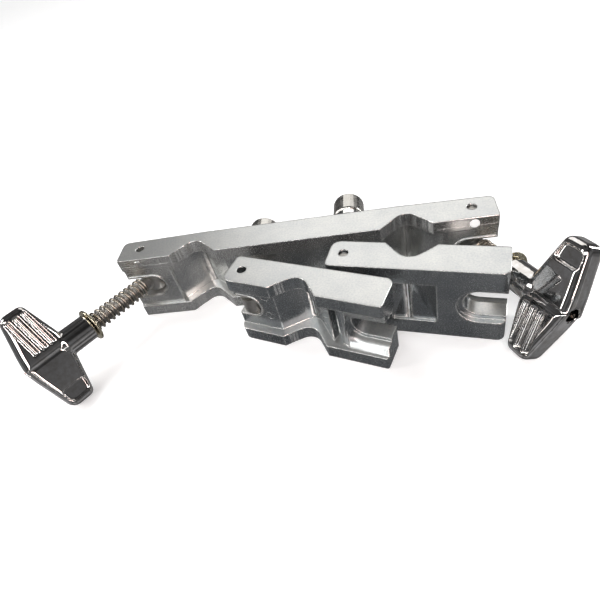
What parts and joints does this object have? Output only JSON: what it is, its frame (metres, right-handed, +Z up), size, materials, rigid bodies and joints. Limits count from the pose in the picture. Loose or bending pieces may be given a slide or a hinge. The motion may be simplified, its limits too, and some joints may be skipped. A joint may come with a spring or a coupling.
{
  "type": "two-way pipe clamp",
  "caption": "Long bar clamp with V notches at both ends, each closed by a hinged jaw on an adjustable eye bolt and a sprung swing bolt with a T wing nut.",
  "frame": {"origin": "middle of the bar's bottom face", "axes": "+X along the bar towards the right jaw, -Y from the bar towards the jaws, +Z up through the flanges"},
  "size_m": [0.2589, 0.1154, 0.0497],
  "materials": {
    "clamp_bar_metal": "satin die-cast alloy, bright worn edges",
    "left_jaw_metal": "satin die-cast alloy, darker side faces",
    "left_bar_pin_metal": "plain turned steel",
    "left_jaw_pin_metal": "plain turned steel",
    "left_eye_bolt_metal": "bright zinc-plated thread",
    "left_swing_bolt_metal": "bright zinc-plated thread",
    "left_nut_collar_metal": "polished chrome",
    "left_barrel_nut_metal": "satin brushed",
    "left_spring_metal": "warm grey spring wire",
    "left_washer_metal": "yellow zinc, brassy",
    "left_wing_nut_metal": "polished chrome on a casting",
    "right_jaw_metal": "satin die-cast alloy, darker side faces",
    "right_bar_pin_metal": "plain turned steel",
    "right_jaw_pin_metal": "plain turned steel",
    "right_eye_bolt_metal": "bright zinc-plated thread",
    "right_swing_bolt_metal": "bright zinc-plated thread",
    "right_nut_collar_metal": "polished chrome",
    "right_barrel_nut_metal": "satin brushed",
    "right_spring_metal": "warm grey spring wire",
    "right_washer_metal": "yellow zinc, brassy",
    "right_wing_nut_metal": "polished chrome on a casting"
  },
  "bodies": {
    "bar": {"clamp_bar": "clamp_bar_metal"},
    "left_eye_bolt_body": {"left_eye_bolt": "left_eye_bolt_metal"},
    "left_jaw_body": {"left_jaw": "left_jaw_metal", "left_jaw_pin": "left_jaw_pin_metal"},
    "left_collar_body": {"left_nut_collar": "left_nut_collar_metal"},
    "left_barrel_body": {"left_barrel_nut": "left_barrel_nut_metal"},
    "left_pin_body": {"left_bar_pin": "left_bar_pin_metal"},
    "left_bolt_body": {"left_swing_bolt": "left_swing_bolt_metal", "left_spring": "left_spring_metal"},
    "left_washer_body": {"left_washer": "left_washer_metal"},
    "left_nut_body": {"left_wing_nut": "left_wing_nut_metal"},
    "right_eye_bolt_body": {"right_eye_bolt": "right_eye_bolt_metal"},
    "right_jaw_body": {"right_jaw": "right_jaw_metal", "right_jaw_pin": "right_jaw_pin_metal"},
    "right_collar_body": {"right_nut_collar": "right_nut_collar_metal"},
    "right_barrel_body": {"right_barrel_nut": "right_barrel_nut_metal"},
    "right_pin_body": {"right_bar_pin": "right_bar_pin_metal"},
    "right_bolt_body": {"right_swing_bolt": "right_swing_bolt_metal", "right_spring": "right_spring_metal"},
    "right_washer_body": {"right_washer": "right_washer_metal"},
    "right_nut_body": {"right_wing_nut": "right_wing_nut_metal"}
  },
  "joints": [
    {"name": "left_eye_bolt_slide", "type": "slide", "parent": "bar", "child": "left_eye_bolt_body", "axis": [0, -1, 0], "range_m": [-0.0015, 0.003]},
    {"name": "left_jaw_hinge", "type": "hinge", "parent": "left_eye_bolt_body", "child": "left_jaw_body", "pos_m": [-0.02375, -0.0257, 0.02], "axis": [0, 0, 1], "range_deg": [-159, 0]},
    {"name": "left_collar_slide", "type": "slide", "parent": "left_eye_bolt_body", "child": "left_collar_body", "axis": [0, 1, 0], "range_m": [-0.003, 0.002]},
    {"name": "left_barrel_nut_turn", "type": "hinge", "parent": "left_collar_body", "child": "left_barrel_body", "pos_m": [-0.02375, 0.03, 0.02], "axis": [0, 1, 0], "range_deg": [-864, 576]},
    {"name": "left_bolt_swing", "type": "hinge", "parent": "bar", "child": "left_pin_body", "pos_m": [-0.0832, 0.00035, 0.02], "axis": [0, 0, -1], "range_deg": [-33.5, 56.5]},
    {"name": "left_bolt_tilt", "type": "hinge", "parent": "left_pin_body", "child": "left_bolt_body", "pos_m": [-0.0832, 0.00035, 0.02], "axis": [-0.8339, 0.5519, 0], "range_deg": [-4.2, 1]},
    {"name": "left_washer_slide", "type": "slide", "parent": "left_bolt_body", "child": "left_washer_body", "axis": [-0.5505, -0.8316, 0.0732], "range_m": [-0.01, 0.004], "deforming": ["left_spring"]},
    {"name": "left_wing_nut_turn", "type": "hinge", "parent": "left_washer_body", "child": "left_nut_body", "pos_m": [-0.0832, 0.00035, 0.02], "axis": [-0.5505, -0.8316, 0.0732], "range_deg": [-2880, 1152]},
    {"name": "right_eye_bolt_slide", "type": "slide", "parent": "bar", "child": "right_eye_bolt_body", "axis": [0, -1, 0], "range_m": [-0.001, 0.002]},
    {"name": "right_jaw_hinge", "type": "hinge", "parent": "right_eye_bolt_body", "child": "right_jaw_body", "pos_m": [0.02375, -0.0221, 0.02], "axis": [0, 0, -1], "range_deg": [0, 9]},
    {"name": "right_collar_slide", "type": "slide", "parent": "right_eye_bolt_body", "child": "right_collar_body", "axis": [0, 1, 0], "range_m": [-0.015, 0.002]},
    {"name": "right_barrel_nut_turn", "type": "hinge", "parent": "right_collar_body", "child": "right_barrel_body", "pos_m": [0.02375, 0.04, 0.02], "axis": [0, 1, 0], "range_deg": [-4320, 576]},
    {"name": "right_bolt_swing", "type": "hinge", "parent": "bar", "child": "right_pin_body", "pos_m": [0.0832, 0.00035, 0.02], "axis": [0, 0, 1], "range_deg": [0, 61.5]},
    {"name": "right_bolt_tilt", "type": "hinge", "parent": "right_pin_body", "child": "right_bolt_body", "pos_m": [0.0832, 0.00035, 0.02], "axis": [-0.9063, -0.4226, 0], "range_deg": [-5.1, 0.25]},
    {"name": "right_washer_slide", "type": "slide", "parent": "right_bolt_body", "child": "right_washer_body", "axis": [0.4209, -0.9027, 0.0889], "range_m": [0, 0.003], "deforming": ["right_spring"]},
    {"name": "right_wing_nut_turn", "type": "hinge", "parent": "right_washer_body", "child": "right_nut_body", "pos_m": [0.0832, 0.00035, 0.02], "axis": [0.4209, -0.9027, 0.0889], "range_deg": [0, 864]}
  ],
  "couplings": [
    {"joint": "left_barrel_nut_turn", "follows": "left_collar_slide", "rad_per_m": 5026.5},
    {"joint": "left_wing_nut_turn", "follows": "left_washer_slide", "rad_per_m": 5026.5},
    {"joint": "right_barrel_nut_turn", "follows": "right_collar_slide", "rad_per_m": 5026.5},
    {"joint": "right_wing_nut_turn", "follows": "right_washer_slide", "rad_per_m": 5026.5}
  ]
}
